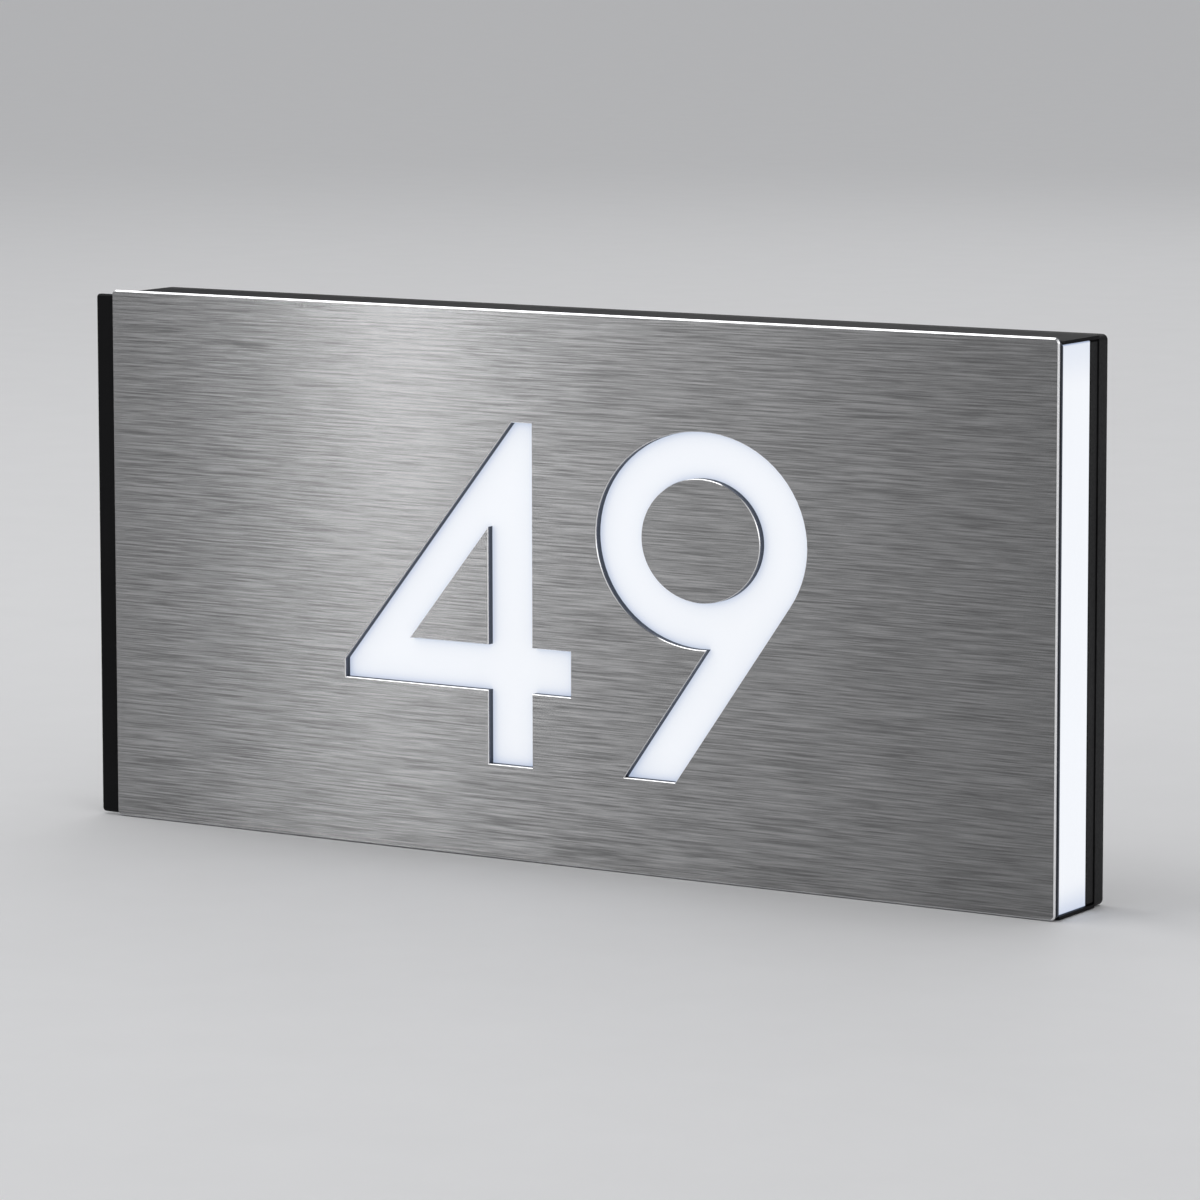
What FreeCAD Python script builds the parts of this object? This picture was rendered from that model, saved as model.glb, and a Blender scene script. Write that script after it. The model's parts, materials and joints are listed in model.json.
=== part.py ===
import FreeCAD, Part
import math
import os
import Sketcher

# Illuminated house number plaque: a brushed steel sheet with the number cut through it,
# laminated on a black backing sheet, over an opal panel lit from inside a shallow casing.
# X runs along the front from left to right, Y from the front to the wall, Z up.
# The origin is at the middle of the bottom of the whole plaque. All sizes are millimetres.

SIZES = {
    # Steel front sheet and the black sheet behind it
    "plate_width": 320.0,
    "plate_height": 160.0,
    "plate_thickness": 1.0,
    "plate_corner": 1.6,
    "plate_bevel": 0.45,
    "cut_bevel": 0.2,
    "backing_thickness": 1.4,
    "backing_reveal": 6.5,
    "backing_inset": 0.5,
    "backing_corner": 1.2,
    "backing_bevel": 0.5,
    # Numerals, measured from the middle of the steel sheet, a little below which they sit
    "digit_height": 100.0,
    "digit_lowering": 2.4,
    "four_left": 75.2,
    "four_width": 78.6,
    "four_overhang": 13.2,
    "four_flat": 6.9,
    "four_tip": 5.4,
    "stem_width": 15.0,
    "bar_rise": 21.6,
    "bar_height": 13.3,
    "diagonal_width": 12.9,
    "bowl_right_of_middle": 46.8,
    "bowl_half_height": 31.0,
    "bowl_widening": 3.7,
    "bowl_overshoot": 0.7,
    "bowl_stroke": 13.3,
    "counter_widening": 1.9,
    "tail_angle": 54.7,
    "tail_width": 13.9,
    # Opal panel and opal end bar
    "diffuser_thickness": 3.0,
    "window_gap": 0.4,
    "bar_thickness": 5.0,
    "bar_recess": 0.3,
    "bar_round": 0.4,
    "bar_gap": 0.2,
    "tongue_thickness": 1.6,
    "tongue_depth": 1.2,
    "groove_gap": 0.15,
    # Folded casing
    "top_reveal": 1.0,
    "casing_wall": 1.0,
    "bend_radius": 1.6,
    "edge_gap": 0.4,
    # Studs of the steel sheet and the pillars screwed on them
    "stud_diameter": 3.0,
    "stud_length": 8.0,
    "hole_gap": 0.2,
    "thread_gap": 0.05,
    "pillar_across_flats": 5.5,
    "pillar_length": 14.6,
    "pillar_margin": 0.45,
    # Pan head screws inside
    "screw_head": 5.4,
    "screw_head_height": 1.8,
    "screw_head_bevel": 0.5,
    "screw_head_gap": 1.3,
    "screw_grip": 4.0,
    # Lamp tray and its three lamp boards
    "tray_thickness": 1.0,
    "lead_hole": 9.0,
    "board_inset": 3.0,
    "board_height": 10.0,
    "board_thickness": 1.6,
    "board_pitch": 40.0,
    "board_screw_inset": 6.0,
    "lamp_length": 3.5,
    "lamp_height": 2.8,
    "lamp_thickness": 0.8,
    "lamp_rim": 0.35,
    "lamp_well": 0.2,
    "lamp_margin": 20.0,
    "link_diameter": 1.2,
    "link_pitch": 6.0,
    "link_inset": 15.0,
    # Post that closes the casing behind the opal end bar
    "post_shoulder": 7.0,
    "post_bevel": 0.5,
    "post_screw_edge": 20.0,
    # Moulded back cover
    "cover_depth": 6.2,
    "cover_floor": 1.6,
    "spigot_height": 2.6,
    "spigot_wall": 1.4,
    "spigot_gap": 0.25,
    "cover_skin": 0.6,
    "wall_hole": 5.2,
    "wall_hole_from_side": 35.0,
    "wall_hole_from_edge": 29.5,
    "wall_pad": 13.0,
    "pad_height": 1.4,
    "rib_width": 1.2,
    "rib_height": 2.2,
    "cover_screw_diameter": 2.5,
    "cover_screw_head": 4.2,
    "cover_screw_length": 8.0,
    "cover_screw_edge": 0.4,
    "cover_screw_sink": 0.1,
    "boss_wall": 0.85,
    "boss_width": 8.0,
    "boss_gap": 0.2,
    "boss_from_seat": 6.0,
    # Cable entry
    "grommet_from_terminal": 27.0,
    "grommet_bore": 6.0,
    "grommet_neck": 10.0,
    "grommet_flange": 14.0,
    "grommet_lip": 1.5,
    "grommet_bevel": 0.4,
    "grommet_sink": 0.1,
    "grommet_seat": 20.0,
    # Driver, its screws and the terminal block
    "driver_length": 62.0,
    "driver_height": 20.0,
    "driver_depth": 7.0,
    "driver_round": 1.5,
    "ear_length": 7.0,
    "ear_height": 6.0,
    "ear_thickness": 1.6,
    "terminal_length": 14.0,
    "terminal_height": 13.0,
    "terminal_depth": 7.2,
    "terminal_gap": 8.0,
    "terminal_pitch": 6.0,
    "terminal_screw": 2.6,
    "terminal_screw_depth": 2.0,
    "terminal_slot": 0.5,
    "terminal_slot_depth": 0.7,
    "terminal_entry": 2.4,
    "terminal_entry_depth": 3.5,
    "lead_diameter": 1.2,
    "lead_height": 4.0,
    "lead_spacing": 3.0,
    "lead_run": 19.0,
    "lead_drop": 4.0,
    "lead_bend": 2.6,
}

# Each board has a lamp at its middle and this many on each side of it
LAMPS_EACH_SIDE = 4

# Tests for edges take places this near as the same, and look this far past a border
SAME_PLACE = 0.001
CLEAR_OF_BORDER = 1.0

doc = FreeCAD.newDocument("HouseNumberPlaque")
sheet = doc.addObject("Spreadsheet::Sheet", "Sizes")
for row, (alias, number) in enumerate(SIZES.items(), start=1):
    sheet.set(f"A{row}", alias)
    sheet.set(f"B{row}", str(number))
    sheet.setAlias(f"B{row}", alias)
doc.recompute()


class Size:
    """A length that carries both its value and its formula in the sheet's names."""

    def __init__(self, number, text):
        self.number = number
        self.text = text

    def __add__(self, other):
        other = as_size(other)
        return Size(self.number + other.number, f"({self.text} + {other.text})")

    def __sub__(self, other):
        other = as_size(other)
        return Size(self.number - other.number, f"({self.text} - {other.text})")

    def __mul__(self, other):
        other = as_size(other)
        return Size(self.number * other.number, f"{self.text} * {other.text}")

    def __truediv__(self, other):
        other = as_size(other)
        return Size(self.number / other.number, f"{self.text} / ({other.text})")

    def __neg__(self):
        return Size(-self.number, f"(-1 * {self.text})")


def as_size(thing):
    return thing if isinstance(thing, Size) else Size(float(thing), f"({thing})")


def size(alias):
    return Size(SIZES[alias], f"{sheet.Name}.{alias}")


def root(squared):
    return Size(math.sqrt(squared.number), f"sqrt({squared.text})")


def sine(degrees):
    return Size(math.sin(math.radians(degrees.number)), f"sin({degrees.text})")


def cosine(degrees):
    return Size(math.cos(math.radians(degrees.number)), f"cos({degrees.text})")


NOUGHT = as_size(0)

# Places along Y, each measured from the front of the steel sheet
backing_front = size("plate_thickness")
laminate_back = backing_front + size("backing_thickness")
flange_back = laminate_back + size("casing_wall")
tray_front = flange_back + size("pillar_length")
board_face = tray_front - size("board_thickness")
board_core = tray_front - size("board_thickness") / 2
tray_back = tray_front + size("tray_thickness")
boss_half_depth = size("cover_screw_diameter") / 2 + size("boss_wall")
cover_screw_y = tray_back + size("boss_gap") + boss_half_depth
casing_back = cover_screw_y + size("cover_screw_head") / 2 + size("cover_screw_edge")
cover_inside = casing_back + size("cover_depth") - size("cover_floor")
leads_y = cover_inside - size("lead_height")
ear_front = cover_inside - size("pad_height") - size("ear_thickness")
driver_screw_length = cover_inside - ear_front + size("cover_floor") - size("cover_skin")
plaque_depth = casing_back + size("cover_depth")

# Places along X, each measured from the middle of the steel sheet
half_plate = size("plate_width") / 2
backing_left = -half_plate - size("backing_reveal")
bar_inside = half_plate - size("bar_thickness")
inside_right = bar_inside - size("edge_gap")
end_face = half_plate - size("bar_recess")
post_left = bar_inside - size("post_shoulder")
stud_reach = post_left - size("screw_head_gap") - size("screw_head") / 2
board_reach = post_left - size("board_inset")
board_screw_reach = board_reach - size("board_screw_inset")
driver_right = size("driver_length") / 2
terminal_x = -driver_right - size("terminal_gap") - size("terminal_length") / 2
grommet_x = terminal_x - size("terminal_length") / 2 - size("grommet_from_terminal")
seat_left = grommet_x - size("grommet_seat") / 2
cover_screw_reach = size("boss_width") / 2 + size("boss_from_seat") - seat_left

# Places along Z, each measured from the bottom
casing_height = size("plate_height") - size("top_reveal")
casing_middle = casing_height / 2
stud_low = size("bend_radius") + size("pillar_margin") + size("pillar_across_flats") / 2
flange_width = stud_low + size("pillar_across_flats") / 2 + size("pillar_margin")
board_top = casing_middle + size("board_height") / 2
electrics_z = board_top + size("lead_drop") + size("lead_spacing") / 2

# Bores for studs and screws, one that grips the thread and one that clears it
pilot_bore = size("stud_diameter") + size("thread_gap") * 2
clear_bore = size("stud_diameter") + size("hole_gap") * 2

# The steel sheet's middle lies right of the origin, because the backing reaches further left
middle_x = size("backing_reveal") / 2
front_y = -plaque_depth / 2


def vector(x, z):
    return FreeCAD.Vector(x.number, z.number, 0)


def new_body(name, depth=NOUGHT, x=NOUGHT, z=NOUGHT):
    """A body whose own origin lies at a depth behind the front, over the sheet's middle."""
    body = doc.addObject("PartDesign::Body", name)
    body.Label = name
    body.AllowCompound = True
    body.setExpression("Placement.Base.x", (middle_x + x).text)
    body.setExpression("Placement.Base.y", (front_y + depth).text)
    body.setExpression("Placement.Base.z", z.text)
    return body


def new_sketch(body, name, depth=NOUGHT, plane="XZ_Plane"):
    """A sketch on one of the body's planes; on XZ_Plane it is moved back by depth."""
    sketch = body.newObject("Sketcher::SketchObject", name)
    base = next(item for item in body.Origin.OriginFeatures if item.Role == plane)
    sketch.AttachmentSupport = (base, [""])
    sketch.MapMode = "FlatFace"
    offset = -depth if plane == "XZ_Plane" else depth
    sketch.setExpression("AttachmentOffset.Base.z", offset.text)
    return sketch


def hold(sketch, held, joined=()):
    """Add the constraints of one drawing; each held one has its place and its formula."""
    constraints = [Sketcher.Constraint(*words, place.number) for words, place in held]
    constraints += [Sketcher.Constraint(*words) for words in joined]
    first = sketch.ConstraintCount
    sketch.addConstraint(constraints)
    for index, (words, place) in enumerate(held, start=first):
        sketch.setExpression(f"Constraints[{index}]", place.text)


def held_point(curve, end, x, z):
    return [(("DistanceX", curve, end), x), (("DistanceY", curve, end), z)]


def draw_outline(sketch, corners):
    """A closed outline of straight lines, with every corner held by its two formulas."""
    first = sketch.GeometryCount
    sides = zip(corners, corners[1:] + corners[:1])
    sketch.addGeometry([Part.LineSegment(vector(*begin), vector(*end)) for begin, end in sides])
    held = []
    joined = []
    for step, corner in enumerate(corners):
        following = first + (step + 1) % len(corners)
        joined.append(("Coincident", first + step, 2, following, 1))
        held += held_point(first + step, 1, *corner)
    hold(sketch, held, joined)


def draw_rectangle(sketch, left, right, low, high):
    draw_outline(sketch, [(left, low), (right, low), (right, high), (left, high)])


def draw_circle(sketch, x, z, diameter):
    radius = diameter / 2
    circle = Part.Circle(vector(x, z), FreeCAD.Vector(0, 0, 1), radius.number)
    curve = sketch.addGeometry(circle)
    hold(sketch, [(("Radius", curve), radius)] + held_point(curve, 3, x, z))


def draw_ellipse(sketch, x, z, half_width, half_height):
    """An ellipse wider than it is high, held by its centre and its two axes."""
    ends = (vector(x + half_width, z), vector(x, z + half_height), vector(x, z))
    curve = sketch.addGeometry(Part.Ellipse(*ends))
    sketch.exposeInternalGeometry(curve)
    axes = [(("Distance", curve + 1), half_width * 2), (("Distance", curve + 2), half_height * 2)]
    hold(sketch, axes + held_point(curve, 3, x, z), [("Horizontal", curve + 1)])


def draw_elbow(sketch, start, corner, end, bend):
    """An open path along X, round a bend and then along the sketch's other direction."""
    (start_x, level), (corner_x, _), (_, end_z) = start, corner, end
    along = bend if corner_x.number > start_x.number else -bend
    turned = bend if end_z.number > level.number else -bend
    centre = (corner_x - along, level + turned)
    before = (corner_x - along, level)
    after = (corner_x, level + turned)
    anticlockwise = along.number * turned.number > 0
    angles = [math.atan2(point[1].number - centre[1].number, point[0].number - centre[0].number)
              for point in (before, after)]
    if not anticlockwise:
        angles.reverse()
    if angles[1] < angles[0]:
        angles[1] += 2 * math.pi
    first = sketch.GeometryCount
    circle = Part.Circle(vector(*centre), FreeCAD.Vector(0, 0, 1), bend.number)
    lines = [Part.LineSegment(vector(*start), vector(*before))]
    lines.append(Part.LineSegment(vector(*after), vector(*end)))
    sketch.addGeometry(lines + [Part.ArcOfCircle(circle, *angles)])
    arc = first + 2
    near, far = (1, 2) if anticlockwise else (2, 1)
    held = held_point(first, 1, *start) + held_point(first, 2, *before)
    held += held_point(first + 1, 2, *end) + held_point(arc, 3, *centre)
    held.append((("DistanceY", first + 1, 1), after[1]))
    joined = [("Coincident", arc, near, first, 2), ("Coincident", arc, far, first + 1, 1)]
    hold(sketch, held, joined)


def draw_hexagon(sketch, x, z, across_flats):
    """A hexagon with two level flats."""
    half_flat = across_flats / 2
    half_corner = across_flats / math.sqrt(3)
    quarter = half_corner / 2
    places = [(half_corner, NOUGHT), (quarter, half_flat), (-quarter, half_flat)]
    places += [(-half_corner, NOUGHT), (-quarter, -half_flat), (quarter, -half_flat)]
    draw_outline(sketch, [(x + right, z + up) for right, up in places])


def add_feature(body, kind, sketch, length=None, reverse=False):
    feature = body.newObject(f"PartDesign::{kind}", kind)
    feature.Profile = sketch
    feature.Reversed = reverse
    if length is None:
        feature.Type = "ThroughAll"
    else:
        feature.setExpression("Length", length.text)
    sketch.Visibility = False
    return feature


def pad_back(body, sketch, length):
    """Raise a front sketch towards the wall."""
    return add_feature(body, "Pad", sketch, length, reverse=True)


def cut_back(body, sketch, length=None):
    """Cut a front sketch towards the wall, right through if no length is given."""
    return add_feature(body, "Pocket", sketch, length)


def edges_of(shape, wanted):
    return [f"Edge{index}" for index, edge in enumerate(shape.Edges, start=1) if wanted(edge.BoundBox)]


def dress(body, kind, base, wanted, amount):
    """Round (Fillet) or bevel (Chamfer) the edges of the last feature that a test picks."""
    doc.recompute()
    feature = body.newObject(f"PartDesign::{kind}", kind)
    feature.Base = (base, edges_of(base.Shape, wanted))
    feature.setExpression("Radius" if kind == "Fillet" else "Size", amount.text)
    body.Tip = feature
    doc.recompute()
    return feature


def close(a, b):
    return abs(a - b) < SAME_PLACE


def at_depth(depth):
    """A test for edges that lie in the plane at a depth behind the body's own origin."""
    return lambda box: close(box.YMin, depth.number) and close(box.YMax, depth.number)


def runs_back(box):
    """A test for straight edges that run from front to back."""
    return close(box.XLength, 0) and close(box.ZLength, 0) and not close(box.YLength, 0)


# The number, drawn on the steel sheet, the backing sheet and their loose counters alike
digit_base = (size("plate_height") - size("digit_height")) / 2 - size("digit_lowering")
digit_top = digit_base + size("digit_height")
tip_x = -size("four_left")
bar_right = tip_x + size("four_width")
stem_right = bar_right - size("four_overhang")
stem_left = stem_right - size("stem_width")
flat_left = stem_right - size("four_flat")
bar_low = digit_base + size("bar_rise")
bar_high = bar_low + size("bar_height")
tip_high = bar_low + size("four_tip")
diagonal_rise = digit_top - tip_high
diagonal_run = flat_left - tip_x
diagonal_length = root(diagonal_rise * diagonal_rise + diagonal_run * diagonal_run)
diagonal_across = size("diagonal_width") * diagonal_length / diagonal_rise
counter_left = tip_x + (bar_high - tip_high) * diagonal_run / diagonal_rise + diagonal_across
counter_top = bar_high + (stem_left - counter_left) * diagonal_rise / diagonal_run

bowl_x = size("bowl_right_of_middle")
bowl_half_height = size("bowl_half_height")
bowl_half_width = bowl_half_height + size("bowl_widening")
bowl_z = digit_top + size("bowl_overshoot") - bowl_half_height
hole_half_height = bowl_half_height - size("bowl_stroke")
hole_half_width = hole_half_height + size("counter_widening")
tail_sine = sine(size("tail_angle"))
tail_cosine = cosine(size("tail_angle"))
side_reach = bowl_half_width * tail_sine
foot_reach = bowl_half_height * tail_cosine
tangent_reach = root(side_reach * side_reach + foot_reach * foot_reach)
tangent_x = bowl_x + bowl_half_width * side_reach / tangent_reach
tangent_z = bowl_z - bowl_half_height * foot_reach / tangent_reach
tail_across = size("tail_width") / tail_sine
tail_run = (tangent_z - digit_base) * tail_cosine / tail_sine


def draw_four(sketch):
    corners = [(tip_x, bar_low), (stem_left, bar_low), (stem_left, digit_base)]
    corners += [(stem_right, digit_base), (stem_right, bar_low), (bar_right, bar_low)]
    corners += [(bar_right, bar_high), (stem_right, bar_high), (stem_right, digit_top)]
    corners += [(flat_left, digit_top), (tip_x, tip_high)]
    draw_outline(sketch, corners)


def draw_four_counter(sketch):
    draw_outline(sketch, [(counter_left, bar_high), (stem_left, bar_high), (stem_left, counter_top)])


def draw_nine_bowl(sketch):
    draw_ellipse(sketch, bowl_x, bowl_z, bowl_half_width, bowl_half_height)


def draw_nine_counter(sketch):
    draw_ellipse(sketch, bowl_x, bowl_z, hole_half_width, hole_half_height)


def draw_nine_tail(sketch):
    """The tail's right side touches the bowl; its upper end stays inside the bowl."""
    foot_right = tangent_x - tail_run
    corners = [(foot_right - tail_across, digit_base), (foot_right, digit_base)]
    corners += [(tangent_x, tangent_z), (tangent_x - tail_across, tangent_z)]
    draw_outline(sketch, corners)


def cut_number(body):
    """Cut both numerals through the sheet; their counters are pieces of their own."""
    for name, draw in (("Four", draw_four), ("NineBowl", draw_nine_bowl), ("NineTail", draw_nine_tail)):
        sketch = new_sketch(body, name)
        draw(sketch)
        feature = cut_back(body, sketch)
    return feature


def stud_places():
    rows = (stud_low, casing_height - stud_low)
    return [(x, z) for z in rows for x in (-stud_reach, NOUGHT, stud_reach)]


def drill(body, name, places, diameter, depth=NOUGHT, length=None):
    sketch = new_sketch(body, name, depth)
    for x, z in places:
        draw_circle(sketch, x, z, diameter)
    return cut_back(body, sketch, length)


def front_sheet(name, depth, thickness, borders, corner, bevel):
    """A flat sheet with bevelled borders and the number cut through it."""
    body = new_body(name, depth)
    sketch = new_sketch(body, "Border")
    draw_rectangle(sketch, *borders)
    blank = pad_back(body, sketch, thickness)
    rounded = dress(body, "Fillet", blank, runs_back, corner)
    dress(body, "Chamfer", rounded, at_depth(NOUGHT), bevel)
    return body, cut_number(body)


def bevel_number(body, cut):
    """Break the sharp front edges of the numerals."""

    def cut_edge(box):
        level = close(box.YMin, 0) and close(box.YMax, 0)
        left = box.XMin > tip_x.number - CLEAR_OF_BORDER
        right = box.XMax < half_plate.number - CLEAR_OF_BORDER
        return level and left and right and box.ZMin > digit_base.number - CLEAR_OF_BORDER

    dress(body, "Chamfer", cut, cut_edge, size("cut_bevel"))


def loose_counter(name, depth, thickness, draw, bevel):
    """The island inside a numeral, bonded to the opal panel behind it."""
    body = new_body(name, depth)
    sketch = new_sketch(body, "Island")
    draw(sketch)
    blank = pad_back(body, sketch, thickness)
    if bevel is not None:
        dress(body, "Chamfer", blank, at_depth(NOUGHT), bevel)
    return body


def front_plate():
    borders = (-half_plate, half_plate, NOUGHT, size("plate_height"))
    thickness = size("plate_thickness")
    dressing = (size("plate_corner"), size("plate_bevel"))
    bevel_number(*front_sheet("front_plate", NOUGHT, thickness, borders, *dressing))
    loose_counter("counter_four", NOUGHT, thickness, draw_four_counter, size("cut_bevel"))
    loose_counter("counter_nine", NOUGHT, thickness, draw_nine_counter, size("cut_bevel"))


def backing_plate():
    inset = size("backing_inset")
    borders = (backing_left, half_plate, inset, casing_height - inset)
    thickness = size("backing_thickness")
    dressing = (size("backing_corner"), size("backing_bevel"))
    body, _ = front_sheet("backing_plate", backing_front, thickness, borders, *dressing)
    drill(body, "StudHoles", stud_places(), clear_bore)
    loose_counter("counter_four_backing", backing_front, thickness, draw_four_counter, None)
    loose_counter("counter_nine_backing", backing_front, thickness, draw_nine_counter, None)


def plate_studs():
    body = new_body("plate_studs", size("plate_thickness"))
    sketch = new_sketch(body, "Studs")
    for x, z in stud_places():
        draw_circle(sketch, x, z, size("stud_diameter"))
    pad_back(body, sketch, size("stud_length"))


def hex_pillars():
    body = new_body("hex_pillars", flange_back)
    sketch = new_sketch(body, "Pillars")
    for x, z in stud_places():
        draw_hexagon(sketch, x, z, size("pillar_across_flats"))
        draw_circle(sketch, x, z, pilot_bore)
    pad_back(body, sketch, size("pillar_length"))


window_left = -half_plate + flange_width
window_right = inside_right - flange_width
window_low = flange_width
window_high = casing_height - flange_width


def diffuser_panel():
    body = new_body("diffuser_panel", laminate_back)
    gap = size("window_gap")
    sketch = new_sketch(body, "Panel")
    borders = (window_left + gap, window_right - gap, window_low + gap, window_high - gap)
    draw_rectangle(sketch, *borders)
    pad_back(body, sketch, size("diffuser_thickness"))


def casing():
    """Black sheet folded back on three sides from a window frame; the right end stays open."""
    body = new_body("casing", laminate_back)
    sketch = new_sketch(body, "Block")
    draw_rectangle(sketch, -half_plate, half_plate, NOUGHT, casing_height)
    block = pad_back(body, sketch, casing_back - laminate_back)

    def bend(box):
        left = close(box.XMin, -half_plate.number)
        front = close(box.YMin, 0) and close(box.YMax, 0)
        level = front and not close(box.XMin, half_plate.number)
        return level or (left and runs_back(box))

    dress(body, "Fillet", block, bend, size("bend_radius"))
    wall = size("casing_wall")
    hollow = new_sketch(body, "Hollow", wall)
    draw_rectangle(hollow, wall - half_plate, half_plate + wall, wall, casing_height - wall)
    folded = cut_back(body, hollow)

    def inner_bend(box):
        low = wall.number - SAME_PLACE
        high = casing_height.number - low
        inside = box.ZMin > low and box.ZMax < high
        inside = inside and close(box.XMin, wall.number - half_plate.number)
        return inside and (at_depth(wall)(box) or runs_back(box))

    dress(body, "Fillet", folded, inner_bend, size("bend_radius") - wall)

    window = new_sketch(body, "Window")
    draw_rectangle(window, window_left, window_right, window_low, window_high)
    cut_back(body, window, wall)
    notch = new_sketch(body, "EndNotch")
    draw_rectangle(notch, inside_right, half_plate + wall, wall, casing_height - wall)
    cut_back(body, notch, size("bend_radius"))
    drill(body, "StudHoles", stud_places(), clear_bore, length=wall)

    countersunk = new_sketch(body, "CoverScrewHoles", plane="XY_Plane")
    clear = size("cover_screw_diameter") + size("hole_gap")
    for x in (-cover_screw_reach, cover_screw_reach):
        draw_circle(countersunk, x, cover_screw_y - laminate_back, clear)
    holes = add_feature(body, "Pocket", countersunk, wall, reverse=True)

    def hole_mouth(box):
        flat = close(box.ZMin, 0) and close(box.ZMax, 0)
        return flat and close(box.XLength, clear.number) and close(box.YLength, clear.number)

    sink = (size("cover_screw_head") - clear) / 2
    dress(body, "Chamfer", holes, hole_mouth, sink)


def light_bar():
    """Opal bar that shines out of the right end, with a tongue that slots into the post."""
    body = new_body("light_bar", laminate_back)
    low = size("casing_wall") + size("bar_gap")
    high = casing_height - low
    sketch = new_sketch(body, "Bar")
    draw_rectangle(sketch, bar_inside, end_face, low, high)
    bar = pad_back(body, sketch, tray_back - laminate_back)

    def outer_edge(box):
        return close(box.XMin, end_face.number) and close(box.XMax, end_face.number)

    dress(body, "Fillet", bar, outer_edge, size("bar_round"))
    tongue = new_sketch(body, "Tongue", tray_back - laminate_back)
    draw_rectangle(tongue, *tongue_sides(), low, high)
    pad_back(body, tongue, size("tongue_depth"))


def tongue_sides():
    middle = (bar_inside + end_face) / 2
    half = size("tongue_thickness") / 2
    return middle - half, middle + half


def end_post():
    body = new_body("end_post", tray_back)
    low = size("casing_wall") + size("bar_gap")
    high = casing_height - low
    depth = casing_back - tray_back
    sketch = new_sketch(body, "Post")
    draw_rectangle(sketch, post_left, end_face, low, high)
    post = pad_back(body, sketch, depth)

    def outer_edge(box):
        return close(box.XMin, end_face.number) and close(box.XMax, end_face.number)

    dress(body, "Chamfer", post, outer_edge, size("post_bevel"))
    gap = size("groove_gap")
    left, right = tongue_sides()
    groove = new_sketch(body, "Groove")
    draw_rectangle(groove, left - gap, right + gap, low - gap, high + gap)
    cut_back(body, groove, size("tongue_depth") + gap)
    drill(body, "Pilots", post_screw_places(), pilot_bore, length=size("screw_grip"))


def post_screw_places():
    x = (post_left + bar_inside) / 2
    edge = size("post_screw_edge")
    return [(x, edge), (x, casing_middle), (x, casing_height - edge)]


def pan_head_screws(name, head_face, places, shank, towards_wall=True):
    """A set of like screws; the head lies on head_face and the shank runs away from it."""
    head_height = size("screw_head_height")
    if towards_wall:
        body = new_body(name, head_face - head_height)
        depths = (NOUGHT, head_height)
    else:
        body = new_body(name, head_face - shank)
        depths = (shank, NOUGHT)
    heads = new_sketch(body, "Heads", depths[0])
    shanks = new_sketch(body, "Shanks", depths[1])
    for x, z in places:
        draw_circle(heads, x, z, size("screw_head"))
        draw_circle(shanks, x, z, size("stud_diameter"))
    pad_back(body, heads, head_height)
    whole = pad_back(body, shanks, shank)
    outer = depths[0] if towards_wall else shank + head_height
    radius = size("screw_head").number / 2

    def rim(box):
        return at_depth(outer)(box) and box.XLength > radius

    dress(body, "Chamfer", whole, rim, size("screw_head_bevel"))


def board_screw_places():
    return [(x, z) for z in board_rows() for x in (-board_screw_reach, board_screw_reach)]


def board_rows():
    pitch = size("board_pitch")
    return [casing_middle - pitch, casing_middle, casing_middle + pitch]


def led_tray():
    """White sheet that carries the lamp boards and throws their light forward."""
    body = new_body("led_tray", tray_front)
    clear = size("casing_wall") + size("window_gap")
    sketch = new_sketch(body, "Tray")
    draw_rectangle(sketch, -half_plate + clear, inside_right, clear, casing_height - clear)
    blank = pad_back(body, sketch, size("tray_thickness"))
    dress(body, "Fillet", blank, runs_back, size("bend_radius"))
    drill(body, "ScrewHoles", stud_places() + post_screw_places(), clear_bore)
    drill(body, "BoardScrewHoles", board_screw_places(), pilot_bore)
    lead_x = driver_right + size("lead_run") + size("lead_spacing") / 2
    drill(body, "LeadHole", [(lead_x, electrics_z)], size("lead_hole"))


def led_boards():
    half_height = size("board_height") / 2
    ends = [(-board_screw_reach, NOUGHT), (board_screw_reach, NOUGHT)]
    for level, row_z in zip(("lower", "middle", "upper"), board_rows()):
        body = new_body(f"led_board_{level}", board_face, z=row_z)
        sketch = new_sketch(body, "Board")
        draw_rectangle(sketch, -board_reach, board_reach, -half_height, half_height)
        pad_back(body, sketch, size("board_thickness"))
        drill(body, "ScrewHoles", ends, clear_bore)
        led_chips(level, row_z)


def led_chips(level, row_z):
    """Lamps in a row, each a small package with a shallow well for its phosphor."""
    body = new_body(f"led_chips_{level}", board_face - size("lamp_thickness"), z=row_z)
    half_length = size("lamp_length") / 2
    half_height = size("lamp_height") / 2
    rim = size("lamp_rim")
    packages = new_sketch(body, "Packages")
    wells = new_sketch(body, "Wells")
    pitch = (board_reach - size("lamp_margin")) / LAMPS_EACH_SIDE
    for step in range(-LAMPS_EACH_SIDE, LAMPS_EACH_SIDE + 1):
        x = pitch * step
        draw_rectangle(packages, x - half_length, x + half_length, -half_height, half_height)
        left, right = x - half_length + rim, x + half_length - rim
        draw_rectangle(wells, left, right, rim - half_height, half_height - rim)
    pad_back(body, packages, size("lamp_thickness"))
    cut_back(body, wells, size("lamp_well"))


def link_leads():
    """Short straight wires that join the lamp boards, end to end on the boards' edges."""
    body = new_body("link_leads", board_core)
    span = size("board_pitch") - size("board_height")
    inner = board_reach - size("link_inset")
    for name, start in (("LowerLinks", board_top - size("board_pitch")), ("UpperLinks", board_top)):
        sketch = new_sketch(body, name, start, plane="XY_Plane")
        for x in (inner, inner + size("link_pitch")):
            draw_circle(sketch, x, NOUGHT, size("link_diameter"))
        add_feature(body, "Pad", sketch, span)


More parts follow.
